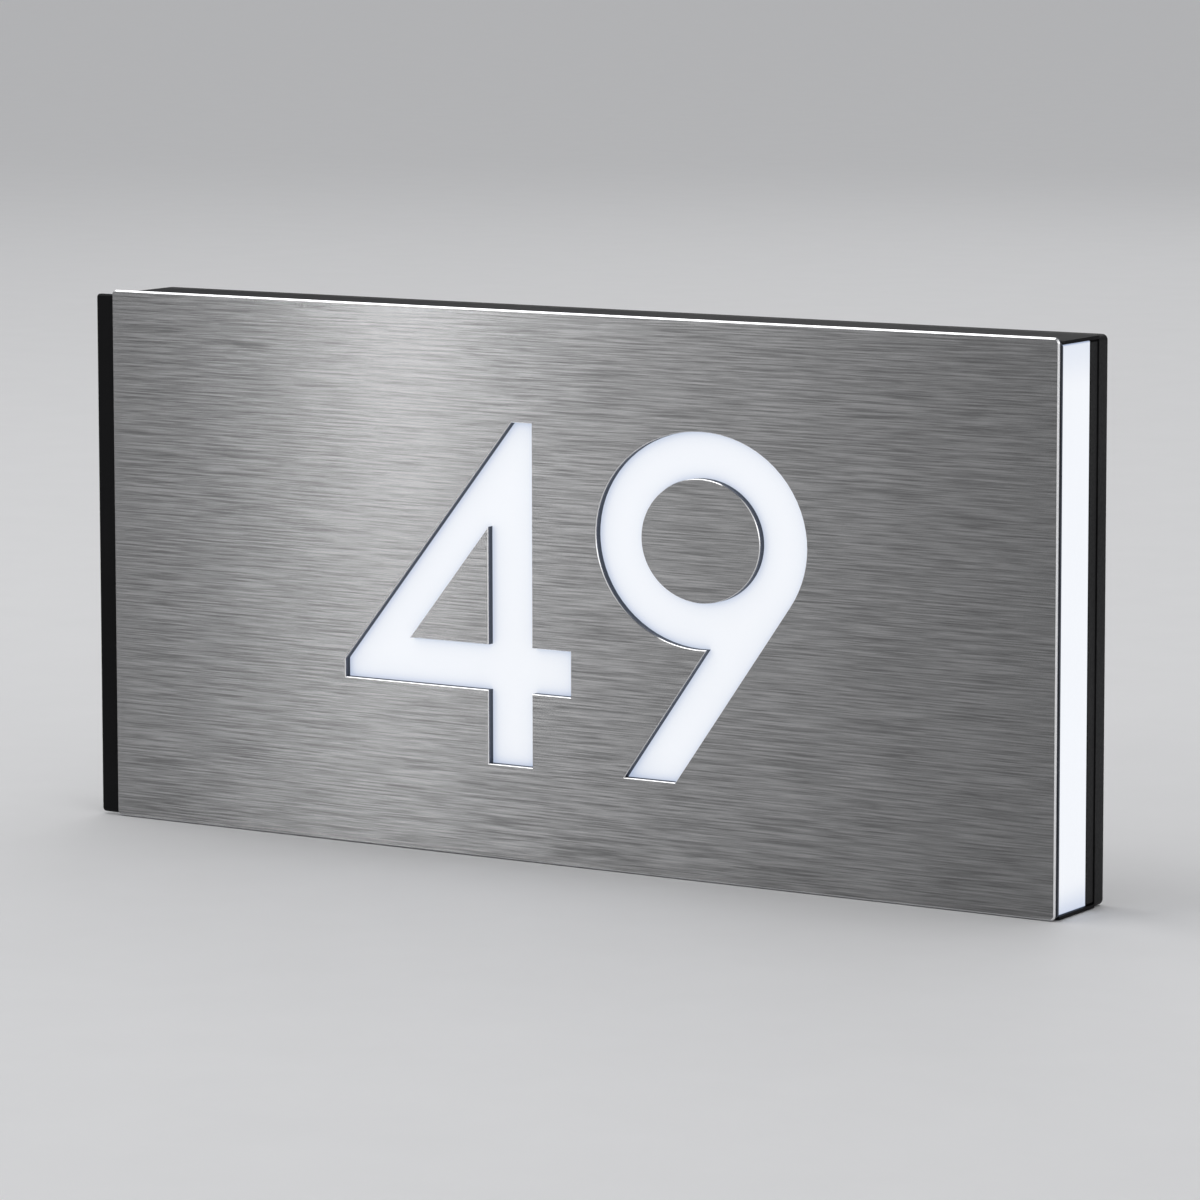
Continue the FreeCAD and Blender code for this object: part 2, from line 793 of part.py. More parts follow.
def back_cover():
    """Moulded cover that is screwed to the wall and carries the driver."""
    body = new_body("back_cover", casing_back)
    depth = size("cover_depth")
    floor = size("cover_floor")
    rim = size("casing_wall") + size("spigot_gap") + size("spigot_wall")
    inside = depth - floor
    sketch = new_sketch(body, "Block")
    draw_rectangle(sketch, -half_plate, half_plate, NOUGHT, casing_height)
    block = pad_back(body, sketch, depth)

    def rounded(box):
        behind = close(box.YMin, depth.number) and close(box.YMax, depth.number)
        return behind or runs_back(box)

    dress(body, "Fillet", block, rounded, size("bend_radius"))
    hollow = new_sketch(body, "Hollow")
    draw_rectangle(hollow, rim - half_plate, half_plate - rim, rim, casing_height - rim)
    cut_back(body, hollow, inside)

    spigot = new_sketch(body, "Spigot", -size("spigot_height"))
    edge = size("casing_wall") + size("spigot_gap")
    right = post_left - size("spigot_gap")
    corners = [(right, edge), (edge - half_plate, edge), (edge - half_plate, casing_height - edge)]
    corners += [(right, casing_height - edge), (right, casing_height - rim)]
    corners += [(rim - half_plate, casing_height - rim), (rim - half_plate, rim), (right, rim)]
    draw_outline(spigot, corners)
    pad_back(body, spigot, size("spigot_height"))

    boss_front = tray_back + size("boss_gap") - casing_back
    bosses = new_sketch(body, "ScrewBosses", boss_front)
    half_boss = size("boss_width") / 2
    boss_top = size("cover_screw_length") + size("boss_wall") + edge
    for x in (-cover_screw_reach, cover_screw_reach):
        draw_rectangle(bosses, x - half_boss, x + half_boss, edge, boss_top)
    pad_back(body, bosses, inside - boss_front)

    ribs = new_sketch(body, "Ribs", inside - size("rib_height"))
    half_rib = size("rib_width") / 2
    for x in (-cover_screw_reach, cover_screw_reach):
        draw_rectangle(ribs, x - half_rib, x + half_rib, boss_top, casing_height - rim)
    pad_back(body, ribs, size("rib_height"))

    pads = new_sketch(body, "Pads", inside - size("pad_height"))
    for x, z in wall_hole_places():
        draw_circle(pads, x, z, size("wall_pad"))
    for x, z in driver_screw_places():
        draw_circle(pads, x, z, size("ear_height"))
    pad_back(body, pads, size("pad_height"))
    seat = new_sketch(body, "CableSeat", inside - size("grommet_lip"))
    draw_circle(seat, grommet_x, electrics_z, size("grommet_seat"))
    pad_back(body, seat, size("grommet_lip"))

    drill(body, "WallHoles", wall_hole_places(), size("wall_hole"))
    cable_place = [(grommet_x, electrics_z)]
    drill(body, "CableHole", cable_place, size("grommet_neck"))
    recess = size("grommet_flange") + size("hole_gap") * 2
    drill(body, "CableRecess", cable_place, recess, depth=inside)
    pilot_depth = driver_screw_length - size("ear_thickness") + size("hole_gap")
    ear_back = inside - size("pad_height")
    drill(body, "DriverPilots", driver_screw_places(), pilot_bore, ear_back, pilot_depth)

    bores = new_sketch(body, "CoverScrewBores", plane="XY_Plane")
    bore = size("cover_screw_diameter") + size("thread_gap")
    for x in (-cover_screw_reach, cover_screw_reach):
        draw_circle(bores, x, cover_screw_y - casing_back, bore)
    add_feature(body, "Pocket", bores, size("cover_screw_length") + edge, reverse=True)


def wall_hole_places():
    reach = half_plate - size("wall_hole_from_side")
    low = size("wall_hole_from_edge")
    return [(x, z) for z in (low, casing_height - low) for x in (-reach, reach)]


def driver_screw_places():
    z = electrics_z - size("driver_height") / 2 + size("ear_height") / 2
    reach = driver_right + size("ear_length") / 2
    return [(-reach, z), (reach, z)]


def turn(body, sketch, axis):
    feature = body.newObject("PartDesign::Revolution", "Turned")
    feature.Profile = sketch
    feature.ReferenceAxis = (sketch, [axis])
    feature.Angle = 360
    sketch.Visibility = False
    return feature


def cover_screws():
    """Countersunk screws that hold the casing's lower wall to the bosses of the cover."""
    body = new_body("cover_screws", cover_screw_y, x=-cover_screw_reach)
    sink = size("cover_screw_sink")
    half_head = size("cover_screw_head") / 2
    half_shank = size("cover_screw_diameter") / 2
    sketch = new_sketch(body, "HalfScrew")
    corners = [(NOUGHT, sink), (half_head - sink, sink), (half_shank, half_head - half_shank)]
    corners += [(half_shank, size("cover_screw_length")), (NOUGHT, size("cover_screw_length"))]
    draw_outline(sketch, corners)
    screw = turn(body, sketch, "V_Axis")
    socket = new_sketch(body, "Socket", plane="XY_Plane")
    draw_hexagon(socket, NOUGHT, NOUGHT, half_shank)
    key = add_feature(body, "Pocket", socket, half_shank, reverse=True)
    pattern = body.newObject("PartDesign::LinearPattern", "Pair")
    pattern.Originals = [screw, key]
    pattern.Direction = (sketch, ["H_Axis"])
    pattern.setExpression("Length", (cover_screw_reach * 2).text)
    pattern.Occurrences = 2
    body.Tip = pattern


def cable_grommet():
    """Soft sleeve in the cover through which the supply cable enters."""
    lip = size("grommet_lip")
    body = new_body("cable_grommet", cover_inside - lip * 2, grommet_x, electrics_z)
    bore, neck, flange = (size(f"grommet_{part}") / 2 for part in ("bore", "neck", "flange"))
    end = lip * 2 + size("cover_floor") - size("grommet_sink")
    bevel = size("grommet_bevel")
    sketch = new_sketch(body, "HalfGrommet", plane="XY_Plane")
    corners = [(bore, NOUGHT), (flange - bevel, NOUGHT), (flange, bevel), (flange, lip)]
    corners += [(neck, lip), (neck, lip * 2), (flange, lip * 2), (flange, end - bevel)]
    corners += [(flange - bevel, end), (bore, end)]
    draw_outline(sketch, corners)
    turn(body, sketch, "V_Axis")


def driver():
    """Potted supply unit with an ear at each end, screwed to the cover."""
    depth = size("driver_depth")
    body = new_body("driver", cover_inside - depth, z=electrics_z)
    half_height = size("driver_height") / 2
    sketch = new_sketch(body, "Case")
    draw_rectangle(sketch, -driver_right, driver_right, -half_height, half_height)
    case = pad_back(body, sketch, depth)

    def rounded(box):
        return runs_back(box) or at_depth(NOUGHT)(box)

    dress(body, "Fillet", case, rounded, size("driver_round"))
    ears = new_sketch(body, "Ears", depth - size("pad_height") - size("ear_thickness"))
    reach = driver_right + size("ear_length")
    overlap = driver_right - size("driver_round") * 2
    low = -half_height
    high = low + size("ear_height")
    draw_rectangle(ears, -reach, -overlap, low, high)
    draw_rectangle(ears, overlap, reach, low, high)
    pad_back(body, ears, size("ear_thickness"))
    places = [(x, z - electrics_z) for x, z in driver_screw_places()]
    drill(body, "EarHoles", places, clear_bore)


def terminal_block():
    """Two-pole block that joins the supply cable to the driver."""
    depth = size("terminal_depth")
    body = new_body("terminal_block", cover_inside - depth, terminal_x, electrics_z)
    half_length = size("terminal_length") / 2
    half_height = size("terminal_height") / 2
    half_pitch = size("terminal_pitch") / 2
    sketch = new_sketch(body, "Block")
    draw_rectangle(sketch, -half_length, half_length, -half_height, half_height)
    pad_back(body, sketch, depth)
    groove = new_sketch(body, "Groove")
    half_groove = size("lead_diameter") / 2
    draw_rectangle(groove, -half_length, half_length, -half_groove, half_groove)
    cut_back(body, groove, size("terminal_screw_depth"))
    wells = [(NOUGHT, -half_pitch), (NOUGHT, half_pitch)]
    well = size("terminal_screw") + size("hole_gap")
    well_depth = size("terminal_screw_depth") + size("lead_diameter") / 2
    drill(body, "ScrewWells", wells, well, length=well_depth)
    entries = new_sketch(body, "CableEntries", -half_length, plane="YZ_Plane")
    for z in (-half_pitch, half_pitch):
        draw_circle(entries, depth - size("lead_height"), z, size("terminal_entry"))
    add_feature(body, "Pocket", entries, size("terminal_entry_depth"), reverse=True)


def terminal_screws():
    """Slotted clamping screws at the bottom of the wells in the terminal block."""
    well_floor = size("terminal_screw_depth") + size("lead_diameter") / 2
    depth = cover_inside - size("terminal_depth") + well_floor - size("terminal_screw_depth")
    body = new_body("terminal_screws", depth, terminal_x, electrics_z)
    half_pitch = size("terminal_pitch") / 2
    half_slot = size("terminal_slot") / 2
    screws = new_sketch(body, "Screws")
    slots = new_sketch(body, "Slots")
    for z in (-half_pitch, half_pitch):
        draw_circle(screws, NOUGHT, z, size("terminal_screw"))
        reach = size("terminal_screw")
        draw_rectangle(slots, -reach, reach, z - half_slot, z + half_slot)
    pad_back(body, screws, size("terminal_screw_depth"))
    cut_back(body, slots, size("terminal_slot_depth"))


def supply_leads():
    half_pitch = size("terminal_pitch") / 2
    start = -driver_right - size("terminal_gap")
    body = new_body("supply_leads", leads_y, start, electrics_z)
    sketch = new_sketch(body, "Leads", plane="YZ_Plane")
    for z in (-half_pitch, half_pitch):
        draw_circle(sketch, NOUGHT, z, size("lead_diameter"))
    add_feature(body, "Pad", sketch, size("terminal_gap"))


def lamp_lead(name, side):
    """Lead from the driver through the tray to the edge of the middle lamp board."""
    half_spacing = size("lead_spacing") / 2
    level = electrics_z + half_spacing * side
    run = size("lead_run") + half_spacing - half_spacing * side
    body = new_body(name, leads_y, driver_right, level)
    reach = board_core - leads_y
    drop = board_top - level
    bend = size("lead_bend")
    elbows = (
        ("Out", "XY_Plane", NOUGHT, (NOUGHT, NOUGHT), (run, NOUGHT), (run, reach / 2)),
        ("Down", "YZ_Plane", run, (reach / 2, NOUGHT), (reach, NOUGHT), (reach, drop)),
    )
    for step, (label, plane, depth, start, corner, end) in enumerate(elbows):
        path = new_sketch(body, f"{label}Path", depth, plane=plane)
        draw_elbow(path, start, corner, end, bend)
        if step == 0:
            round_wire = new_sketch(body, f"{label}Wire", plane="YZ_Plane")
            draw_circle(round_wire, NOUGHT, NOUGHT, size("lead_diameter"))
        else:
            round_wire = new_sketch(body, f"{label}Wire", reach / 2)
            draw_circle(round_wire, run, NOUGHT, size("lead_diameter"))
        pipe = body.newObject("PartDesign::AdditivePipe", f"{label}Lead")
        pipe.Profile = round_wire
        pipe.Spine = path
        body.Tip = pipe


front_plate()
backing_plate()
plate_studs()
hex_pillars()
diffuser_panel()
casing()
light_bar()
end_post()
pan_head_screws("post_screws", tray_front, post_screw_places(), size("screw_grip"))
led_tray()
pan_head_screws("tray_screws", tray_back, stud_places(), size("screw_grip"), towards_wall=False)
led_boards()
pan_head_screws("board_screws", board_face, board_screw_places(), size("screw_grip"))
link_leads()
back_cover()
cover_screws()
cable_grommet()
driver()
pan_head_screws("driver_screws", ear_front, driver_screw_places(), driver_screw_length)
terminal_block()
terminal_screws()
supply_leads()
lamp_lead("lead_positive", 1)
lamp_lead("lead_negative", -1)

doc.recompute()

bodies = [item for item in doc.Objects if item.TypeId == "PartDesign::Body"]
for item in doc.Objects:
    if "Invalid" in item.State or "Error" in item.State:
        raise RuntimeError(f"{item.Name} of {item.getParentGeoFeatureGroup()} didn't build")
for body in bodies:
    if body.Shape.isNull() or not body.Shape.isValid() or not body.Shape.Solids:
        raise RuntimeError(f"{body.Label} has no sound solid")
os.makedirs("parts", exist_ok=True)
for body in bodies:
    body.Shape.exportStep(f"parts/{body.Label}.step")
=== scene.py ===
import json
import math
import bpy
from mathutils import Matrix, Vector


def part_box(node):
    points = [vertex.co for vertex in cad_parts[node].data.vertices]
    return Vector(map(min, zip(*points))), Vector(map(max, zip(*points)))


# Looks of a house number plaque that is lit from inside: a brushed steel front with the number
# cut through it, an opal panel and an opal end bar that glow, and black coated sheet around them.
# Metres, in the frame of the solids: X along the front, Y from the front to the wall, Z up.

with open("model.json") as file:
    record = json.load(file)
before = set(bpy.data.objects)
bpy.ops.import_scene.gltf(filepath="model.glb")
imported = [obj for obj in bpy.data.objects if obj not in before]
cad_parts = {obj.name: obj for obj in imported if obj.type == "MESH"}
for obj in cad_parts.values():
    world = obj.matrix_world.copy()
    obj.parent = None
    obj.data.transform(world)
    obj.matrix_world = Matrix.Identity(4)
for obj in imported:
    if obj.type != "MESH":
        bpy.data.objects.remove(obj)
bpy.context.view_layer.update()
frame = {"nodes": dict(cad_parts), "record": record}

# Values that several finishes share
dust_grey = (0.30, 0.30, 0.29)
edge_radius = 0.0003
grain_low, grain_high = 0.3, 0.7


# Small helpers for node trees

def new_node(tree, kind, **settings):
    node = tree.nodes.new(kind)
    for name, value in settings.items():
        setattr(node, name, value)
    return node


def join(tree, source, target):
    tree.links.new(source, target)


def feed(tree, value, socket):
    """Link another node's output to the socket, or set the socket to a number or a colour."""
    if hasattr(value, "is_linked"):
        join(tree, value, socket)
    elif isinstance(value, tuple):
        socket.default_value = (*value, 1.0)
    else:
        socket.default_value = value


def place_on(tree):
    """Places on the piece in metres."""
    return new_node(tree, "ShaderNodeTexCoord").outputs["Object"]


def normal_on(tree, kind="Normal"):
    return new_node(tree, "ShaderNodeNewGeometry").outputs[kind]


def parts_of(tree, vector):
    """X, Y and Z of a vector, each by its letter."""
    node = new_node(tree, "ShaderNodeSeparateXYZ")
    join(tree, vector, node.inputs["Vector"])
    return node.outputs


def noise(tree, place, size, detail, roughness):
    """Cloudy pattern from 0 to 1; size is how many features lie in a metre."""
    texture = new_node(tree, "ShaderNodeTexNoise")
    feed(tree, size, texture.inputs["Scale"])
    texture.inputs["Detail"].default_value = detail
    texture.inputs["Roughness"].default_value = roughness
    join(tree, place, texture.inputs["Vector"])
    return texture.outputs["Fac"]


def spread(tree, value, low, high, new_low=0.0, new_high=1.0, smooth=False):
    """Value from low to high turned into new_low to new_high, and held there outside."""
    ramp = new_node(tree, "ShaderNodeMapRange", clamp=True)
    if smooth:
        ramp.interpolation_type = "SMOOTHSTEP"
    join(tree, value, ramp.inputs["Value"])
    for name, amount in (("From Min", low), ("From Max", high), ("To Min", new_low), ("To Max", new_high)):
        ramp.inputs[name].default_value = amount
    return ramp.outputs["Result"]


def over_grain(tree, height, new_low, new_high):
    """Value that goes from new_low to new_high with the height of a grain."""
    return spread(tree, height, grain_low, grain_high, new_low, new_high)


def arithmetic(tree, operation, first, second):
    node = new_node(tree, "ShaderNodeMath", operation=operation)
    feed(tree, first, node.inputs[0])
    feed(tree, second, node.inputs[1])
    return node.outputs["Value"]


def mix(tree, data_type, kind, share, first, second):
    """Mix of two values; kind is how the Mix node's sockets for that data type end."""
    node = new_node(tree, "ShaderNodeMix", data_type=data_type)
    sockets = {socket.identifier: socket for socket in node.inputs}
    feed(tree, share, sockets["Factor_Float"])
    feed(tree, first, sockets["A_" + kind])
    feed(tree, second, sockets["B_" + kind])
    return next(socket for socket in node.outputs if socket.identifier == "Result_" + kind)


def mix_colour(tree, share, first, second):
    return mix(tree, "RGBA", "Color", share, first, second)


def mix_numbers(tree, share, first, second):
    return mix(tree, "FLOAT", "Float", share, first, second)


def side_facing(tree):
    """1 on the front and back of a sheet, 0 on its cut walls."""
    return arithmetic(tree, "ABSOLUTE", parts_of(tree, normal_on(tree, "True Normal"))["Y"], 0.0)


def cut_wall(tree, facing):
    """Mask of a sheet's cut walls."""
    return spread(tree, facing, 0.3, 0.2)


def new_effect(name, inputs, outputs):
    """An empty node group with numbers as inputs and masks as outputs."""
    group = bpy.data.node_groups.new(name, "ShaderNodeTree")
    for label, value in inputs:
        socket = group.interface.new_socket(name=label, in_out="INPUT", socket_type="NodeSocketFloat")
        socket.default_value = value
    for label in outputs:
        group.interface.new_socket(name=label, in_out="OUTPUT", socket_type="NodeSocketFloat")
    entry = new_node(group, "NodeGroupInput")
    result = new_node(group, "NodeGroupOutput")
    return group, entry.outputs, result.inputs


def place_effect(tree, group, **values):
    node = new_node(tree, "ShaderNodeGroup", node_tree=group)
    for name, value in values.items():
        node.inputs[name].default_value = value
    return node.outputs


# Effects that several finishes share

def make_brush_marks():
    """Marks that run along X, as a sheet gets from a wide abrasive belt."""
    group, entry, result = new_effect(
        "brush marks", (("Length", 1.0), ("Fineness", 1.0)), ("Streaks", "Fine", "Patches"))
    stretch = new_node(group, "ShaderNodeCombineXYZ")
    join(group, entry["Length"], stretch.inputs["X"])
    stretch.inputs["Y"].default_value = 1.0
    join(group, entry["Fineness"], stretch.inputs["Z"])
    place = place_on(group)

    through_sheet = 400.0

    def layer(along, across, detail):
        """Noise with that many features in a metre along and across the marks."""
        scaled = new_node(group, "ShaderNodeVectorMath", operation="MULTIPLY")
        scaled.inputs[1].default_value = (along, through_sheet, across)
        join(group, place, scaled.inputs[0])
        again = new_node(group, "ShaderNodeVectorMath", operation="MULTIPLY")
        join(group, scaled.outputs["Vector"], again.inputs[0])
        join(group, stretch.outputs["Vector"], again.inputs[1])
        return noise(group, again.outputs["Vector"], 1.0, detail, 0.6)

    long_marks = arithmetic(group, "MULTIPLY", layer(32.0, 2000.0, 2.0), 0.6)
    short_marks = arithmetic(group, "MULTIPLY", layer(90.0, 3200.0, 2.0), 0.4)
    both = arithmetic(group, "ADD", long_marks, short_marks)
    join(group, spread(group, both, 0.40, 0.60), result["Streaks"])
    join(group, spread(group, layer(150.0, 3000.0, 1.0), 0.3, 0.7), result["Fine"])
    join(group, spread(group, layer(9.0, 60.0, 2.0), 0.3, 0.7), result["Patches"])
    return group


def make_wear_and_highlight():
    """Mask that is 1 along sharp edges, broken up as handling breaks it; it lightens edges as wear and as
    a painted highlight.
    """
    group, entry, result = new_effect("edge wear and highlight", (("Radius", edge_radius), ("Amount", 1.0)), ("Edge",))
    bevel = new_node(group, "ShaderNodeBevel", samples=4)
    join(group, entry["Radius"], bevel.inputs["Radius"])
    turn = new_node(group, "ShaderNodeVectorMath", operation="DOT_PRODUCT")
    join(group, bevel.outputs["Normal"], turn.inputs[0])
    join(group, normal_on(group), turn.inputs[1])
    edge = spread(group, turn.outputs["Value"], 0.995, 0.88)
    place = place_on(group)
    broken = spread(group, noise(group, place, 260.0, 4.0, 0.65), 0.42, 0.62)
    worn_and_highlit = arithmetic(group, "MULTIPLY", edge, broken)
    join(group, arithmetic(group, "MULTIPLY", worn_and_highlit, entry["Amount"]), result["Edge"])
    return group


def make_fine_grain():
    """Pebbled height and slow blotches, for coated and moulded faces."""
    group, entry, result = new_effect("fine grain", (("Size", 2500.0),), ("Height", "Blotch"))
    place = place_on(group)
    join(group, noise(group, place, entry["Size"], 3.0, 0.55), result["Height"])
    join(group, spread(group, noise(group, place, 22.0, 3.0, 0.6), 0.35, 0.65), result["Blotch"])
    return group


def make_dust():
    """Thin dust that settles on faces that look up."""
    group, entry, result = new_effect("settled dust", (("Amount", 0.3),), ("Dust",))
    up = spread(group, parts_of(group, normal_on(group))["Z"], 0.5, 0.95)
    place = place_on(group)
    cloud = spread(group, noise(group, place, 140.0, 5.0, 0.7), 0.4, 0.75)
    both = arithmetic(group, "MULTIPLY", up, cloud)
    join(group, arithmetic(group, "MULTIPLY", both, entry["Amount"]), result["Dust"])
    return group


brush_marks = make_brush_marks()
wear_and_highlight = make_wear_and_highlight()
fine_grain = make_fine_grain()
settled_dust = make_dust()


# Finishes

def new_finish(name, **sockets):
    """A material whose Principled shader has these plain values on its own sockets."""
    material = bpy.data.materials.new(name)
    material.use_nodes = True
    tree = material.node_tree
    shader = tree.nodes["Principled BSDF"]
    for label, value in sockets.items():
        feed(tree, value, shader.inputs[label.replace("_", " ")])
    return material, tree, shader


def raise_surface(tree, shader, height, strength, distance):
    bump = new_node(tree, "ShaderNodeBump")
    bump.inputs["Strength"].default_value = strength
    bump.inputs["Distance"].default_value = distance
    join(tree, height, bump.inputs["Height"])
    join(tree, bump.outputs["Normal"], shader.inputs["Normal"])


def shade_of(colour, share, step=0.0):
    """Colour times share plus step."""
    return tuple(channel * share + step for channel in colour)


def rub_and_highlight_shade(colour, share, step=0.0):
    """The same, but no paler than white."""
    return tuple(min(1.0, channel) for channel in shade_of(colour, share, step))


def coated_colour(tree, grain, colour, blotch, rub_and_highlight, wear_and_highlight_amount, dust_amount):
    """Blotched colour of a coat, rubbed paler along its edges as wear and as a painted highlight, with
    dust on faces that look up.
    """
    # Paler edges here are partly wear and partly a painted highlight.
    wear_and_highlight_mask = place_effect(tree, wear_and_highlight, Radius=edge_radius, Amount=wear_and_highlight_amount)
    dust = place_effect(tree, settled_dust, Amount=dust_amount)
    base = mix_colour(tree, grain["Blotch"], colour, blotch)
    rubbed_and_highlit = mix_colour(tree, wear_and_highlight_mask["Edge"], base, rub_and_highlight)
    return mix_colour(tree, dust["Dust"], rubbed_and_highlit, dust_grey)


def steel_face():
    """Satin steel sheet, brushed from side to side, with polished chamfers painted pale as a highlight and
    dull cut walls.
    """
    dark_mark, pale_mark = (0.135, 0.135, 0.136), (0.305, 0.305, 0.307)
    fine_mark, patch = (0.24, 0.24, 0.242), (0.27, 0.27, 0.272)
    polished_and_highlit, polished_roughness = (0.86, 0.86, 0.87), 0.16
    dull_low, dull_high, dull_roughness = (0.12, 0.13, 0.16), (0.18, 0.195, 0.235), 0.5
    material, tree, shader = new_finish(
        "steel face", Metallic=1.0, Anisotropic=1.0, Anisotropic_Rotation=0.25)
    marks = place_effect(tree, brush_marks, Length=1.0, Fineness=1.0)
    base = mix_colour(tree, marks["Streaks"], dark_mark, pale_mark)
    fine = spread(tree, marks["Fine"], 0.0, 1.0, 0.0, 0.35)
    grained = mix_colour(tree, fine, base, fine_mark)
    slow = spread(tree, marks["Patches"], 0.0, 1.0, 0.0, 0.08)
    toned = mix_colour(tree, slow, grained, patch)
    facing = side_facing(tree)
    chamfer = spread(tree, facing, 0.97, 0.9)
    wall = cut_wall(tree, facing)
    # Painted highlight: the chamfers are much paler than the face, besides their real polish and lower
    # roughness.
    bright = mix_colour(tree, chamfer, toned, polished_and_highlit)
    dull = mix_colour(tree, marks["Fine"], dull_low, dull_high)
    join(tree, mix_colour(tree, wall, bright, dull), shader.inputs["Base Color"])
    rough = spread(tree, marks["Streaks"], 0.0, 1.0, 0.20, 0.27)
    edge_rough = mix_numbers(tree, chamfer, rough, polished_roughness)
    join(tree, mix_numbers(tree, wall, edge_rough, dull_roughness), shader.inputs["Roughness"])
    height = arithmetic(tree, "ADD", marks["Streaks"], marks["Fine"])
    raise_surface(tree, shader, height, 0.2, 0.00002)
    return material


def powder_coat(name, colour, roughness, grain_size, cut_colour=None):
    """Sprayed and baked coat with a faint orange peel, rubbed paler along its edges as wear and as a
    painted highlight.

    With a cut_colour, the thin coat on the sheet's cut walls lets the steel show through.
    """
    material, tree, shader = new_finish(name, Specular_IOR_Level=0.06)
    grain = place_effect(tree, fine_grain, Size=grain_size)
    blotch = shade_of(colour, 1.4, 0.001)
    # Edge colour a little paler than the coat: wear, and a painted highlight.
    rub_and_highlight = rub_and_highlight_shade(colour, 1.0, 0.03)
    coat = coated_colour(tree, grain, colour, blotch, rub_and_highlight, wear_and_highlight_amount=0.5, dust_amount=0.04)
    if cut_colour:
        coat = mix_colour(tree, cut_wall(tree, side_facing(tree)), coat, cut_colour)
    join(tree, coat, shader.inputs["Base Color"])
    rough = spread(tree, grain["Blotch"], 0.0, 1.0, roughness - 0.05, roughness + 0.06)
    join(tree, rough, shader.inputs["Roughness"])
    raise_surface(tree, shader, grain["Height"], 0.12, 0.00005)
    return material


def moulding(name, colour, roughness, grain_size, strength):
    """Moulded plastic with the fine pebble of an etched mould, and edges painted paler as wear and as a
    painted highlight.
    """
    material, tree, shader = new_finish(name, Specular_IOR_Level=0.16)
    grain = place_effect(tree, fine_grain, Size=grain_size)
    blotch = shade_of(colour, 1.6, 0.002)
    # Edge colour paler than the plastic: partly wear, partly a painted highlight on rims.
    rub_and_highlight = rub_and_highlight_shade(colour, 1.0, 0.05)
    plastic = coated_colour(tree, grain, colour, blotch, rub_and_highlight, wear_and_highlight_amount=0.7, dust_amount=0.05)
    join(tree, plastic, shader.inputs["Base Color"])
    rough = over_grain(tree, grain["Height"], roughness - 0.08, roughness + 0.08)
    join(tree, rough, shader.inputs["Roughness"])
    raise_surface(tree, shader, grain["Height"], strength, 0.00006)
    return material


def opal(name, strength, corner_shade, node, end_fade):
    """Opal acrylic lit from behind: a clean cold white glow, with painted shade near walls, and dimmer
    towards its ends.
    """
    lit_white, cloud = (0.93, 0.955, 1.0), (0.86, 0.90, 0.97)
    near_wall, top_fade, foot_fade = 0.008, 0.014, 0.010
    material, tree, shader = new_finish(name, Emission_Strength=strength, Specular_IOR_Level=0.5)
    grain = place_effect(tree, fine_grain, Size=1800.0)
    # Painted shade: the glow turns towards corner_shade where walls stand close, found by ambient
    # occlusion.
    near = new_node(tree, "ShaderNodeAmbientOcclusion", samples=8)
    near.inputs["Distance"].default_value = near_wall
    openness = spread(tree, near.outputs["AO"], 0.35, 0.95)
    height = parts_of(tree, place_on(tree))["Z"]
    bottom, top = (corner.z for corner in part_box(node))
    below_top = spread(tree, height, top - top_fade, top, 1.0, 1.0 - end_fade, smooth=True)
    above_foot = spread(tree, height, bottom, bottom + foot_fade, 1.0 - end_fade, 1.0, smooth=True)
    ends = arithmetic(tree, "MULTIPLY", below_top, above_foot)
    lit = arithmetic(tree, "MULTIPLY", openness, ends)
    tone = mix_colour(tree, lit, corner_shade, lit_white)
    cloudy = spread(tree, grain["Blotch"], 0.0, 1.0, 0.0, 0.10)
    join(tree, mix_colour(tree, cloudy, tone, cloud), shader.inputs["Emission Color"])
    base = mix_colour(tree, grain["Blotch"], (0.17, 0.175, 0.185), (0.20, 0.205, 0.215))
    join(tree, base, shader.inputs["Base Color"])
    join(tree, over_grain(tree, grain["Height"], 0.32, 0.42), shader.inputs["Roughness"])
    raise_surface(tree, shader, grain["Height"], 0.05, 0.00004)
    return material


def plated(name, colour, roughness):
    """Small plated steel or brass piece, with bright edges and dull spots."""
    material, tree, shader = new_finish(name, Metallic=1.0)
    grain = place_effect(tree, fine_grain, Size=3200.0)
    wear_and_highlight_mask = place_effect(tree, wear_and_highlight, Radius=0.0002, Amount=0.6)
    base = mix_colour(tree, grain["Blotch"], colour, shade_of(colour, 0.72))
    bright = mix_colour(tree, wear_and_highlight_mask["Edge"], base, rub_and_highlight_shade(colour, 1.15))
    join(tree, bright, shader.inputs["Base Color"])
    rough = over_grain(tree, grain["Height"], roughness - 0.06, roughness + 0.1)
    join(tree, rough, shader.inputs["Roughness"])
    raise_surface(tree, shader, grain["Height"], 0.15, 0.00002)
    return material


def phosphor():
    """White lamp package with a yellow phosphor in its well."""
    package_glow, well_glow = (0.25, 0.27, 0.30), (1.0, 0.98, 0.86)
    rim_depth, well_depth = 0.0001, 0.00015
    material, tree, shader = new_finish("lamp package", Emission_Strength=0.6)
    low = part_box("led_chips_middle")[0].y
    sunk = spread(tree, parts_of(tree, place_on(tree))["Y"], low + rim_depth, low + well_depth)
    facing = spread(tree, parts_of(tree, normal_on(tree))["Y"], -0.5, -0.9)
    well = arithmetic(tree, "MULTIPLY", sunk, facing)
    grain = place_effect(tree, fine_grain, Size=4200.0)
    body = mix_colour(tree, grain["Blotch"], (0.86, 0.86, 0.84), (0.80, 0.80, 0.78))
    filled = mix_colour(tree, well, body, (0.93, 0.78, 0.22))
    join(tree, filled, shader.inputs["Base Color"])
    join(tree, mix_colour(tree, well, package_glow, well_glow), shader.inputs["Emission Color"])
    join(tree, over_grain(tree, grain["Height"], 0.25, 0.4), shader.inputs["Roughness"])
    raise_surface(tree, shader, grain["Height"], 0.1, 0.00002)
    return material


